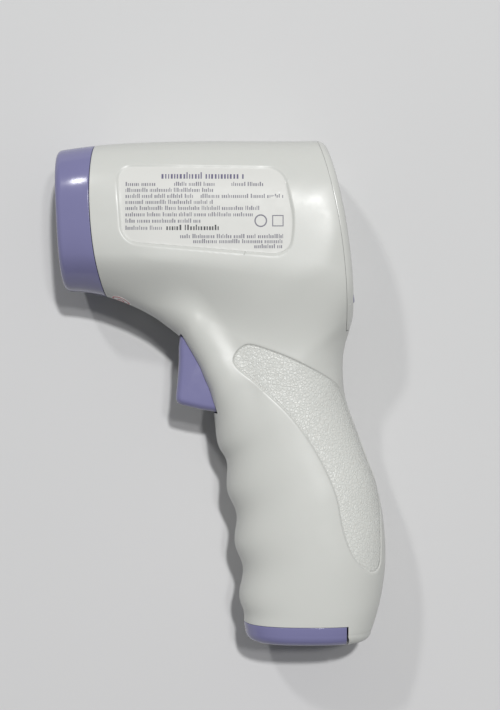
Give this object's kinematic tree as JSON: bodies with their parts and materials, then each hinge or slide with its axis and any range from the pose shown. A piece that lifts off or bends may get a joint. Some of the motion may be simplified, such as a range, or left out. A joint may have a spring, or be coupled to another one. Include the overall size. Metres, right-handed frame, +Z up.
{
  "type": "digital thermometer",
  "caption": "Pistol-shaped non-contact digital thermometer: a nose with a sensor opening, a rear display with keys, a squeeze trigger and a hinged battery door under a swelled grip.",
  "frame": {"origin": "centre of the bounding box, on the surface that the thermometer lies on", "axes": "+Y from the battery door to the top of the barrel, +X from the sensor nose to the display, +Z up through the right casing half and then the left one"},
  "size_m": [0.1012, 0.1538, 0.042],
  "materials": {
    "white_plastic": "satin white ABS with a fine texture on the grip panels",
    "violet_plastic": "smooth greyed violet ABS",
    "label_film": "printed self-adhesive film",
    "dark_plastic": "moulded black plastic",
    "sensor_glass": "coated infrared filter",
    "window_plastic": "clear smoked acrylic",
    "lcd": "reflective liquid crystal cell",
    "milky_plastic": "milky nylon",
    "connector_rubber": "striped silicone rubber",
    "circuit_board": "green solder mask over glass epoxy",
    "brass": "turned brass",
    "steel": "bright zinc or nickel plate",
    "cell_wrap": "plain shrink wrap",
    "red_insulation": "soft vinyl",
    "black_insulation": "soft vinyl",
    "white_insulation": "soft vinyl"
  },
  "bodies": {
    "housing": {"left_shell": "white_plastic", "right_shell": "white_plastic", "nose_ring": "violet_plastic", "rear_bezel": "white_plastic", "rating_label": "label_film", "seal_sticker": "label_film", "sensor_cup": "dark_plastic", "sensor_window": "sensor_glass", "sensor_barrel": "brass", "thermopile": "steel", "thermopile_pins": "steel", "sensor_board": "circuit_board", "display_window": "window_plastic", "lcd_glass": "lcd", "backlight": "milky_plastic", "lcd_connectors": "connector_rubber", "main_board": "circuit_board", "key_switches": "dark_plastic", "controller_chip": "dark_plastic", "memory_chip": "dark_plastic", "crystal": "steel", "buzzer": "dark_plastic", "board_sockets": "milky_plastic", "board_screws": "steel", "trigger_board": "circuit_board", "trigger_switch": "dark_plastic", "trigger_spring": "steel", "contact_carrier": "dark_plastic", "positive_contact": "steel", "negative_spring": "steel", "battery_cells": "cell_wrap", "cell_caps": "steel", "door_pin": "steel", "shell_screws": "steel", "red_lead": "red_insulation", "black_lead": "black_insulation", "sensor_leads": "white_insulation", "switch_leads": "white_insulation"},
    "trigger": {"trigger": "violet_plastic"},
    "trigger_plunger": {"trigger_plunger": "dark_plastic"},
    "key_left": {"key_left": "violet_plastic", "key_left_plunger": "dark_plastic"},
    "key_mode": {"key_mode": "violet_plastic", "key_mode_plunger": "dark_plastic"},
    "key_right": {"key_right": "violet_plastic", "key_right_plunger": "dark_plastic"},
    "battery_door": {"battery_door": "violet_plastic", "door_contact": "steel"}
  },
  "joints": [
    {"name": "trigger_pull", "type": "hinge", "parent": "housing", "child": "trigger", "pos_m": [-0.0065, 0.015, 0.021], "axis": [0, 0, 1], "range_deg": [0, 4.5], "stiffness_Nm_per_rad": 0.9, "springref_deg": -5.73, "deforming": ["trigger_spring"]},
    {"name": "trigger_switch_press", "type": "slide", "parent": "housing", "child": "trigger_plunger", "axis": [1, 0, 0], "range_m": [0, 0.0005]},
    {"name": "key_left_press", "type": "slide", "parent": "housing", "child": "key_left", "axis": [-0.9858, -0.168, 0], "range_m": [0, 0.0003], "stiffness_N_per_m": 1500, "springref_m": -0.0003},
    {"name": "key_mode_press", "type": "slide", "parent": "housing", "child": "key_mode", "axis": [-0.9858, -0.168, 0], "range_m": [0, 0.0003], "stiffness_N_per_m": 1500, "springref_m": -0.0003},
    {"name": "key_right_press", "type": "slide", "parent": "housing", "child": "key_right", "axis": [-0.9858, -0.168, 0], "range_m": [0, 0.0003], "stiffness_N_per_m": 1500, "springref_m": -0.0003},
    {"name": "battery_door_hinge", "type": "hinge", "parent": "housing", "child": "battery_door", "pos_m": [0.0368, -0.0745, 0.021], "axis": [0, 0, 1], "range_deg": [0, 90]}
  ],
  "couplings": [
    {"joint": "trigger_switch_press", "follows": "trigger_pull", "m_per_rad": 0.006}
  ]
}
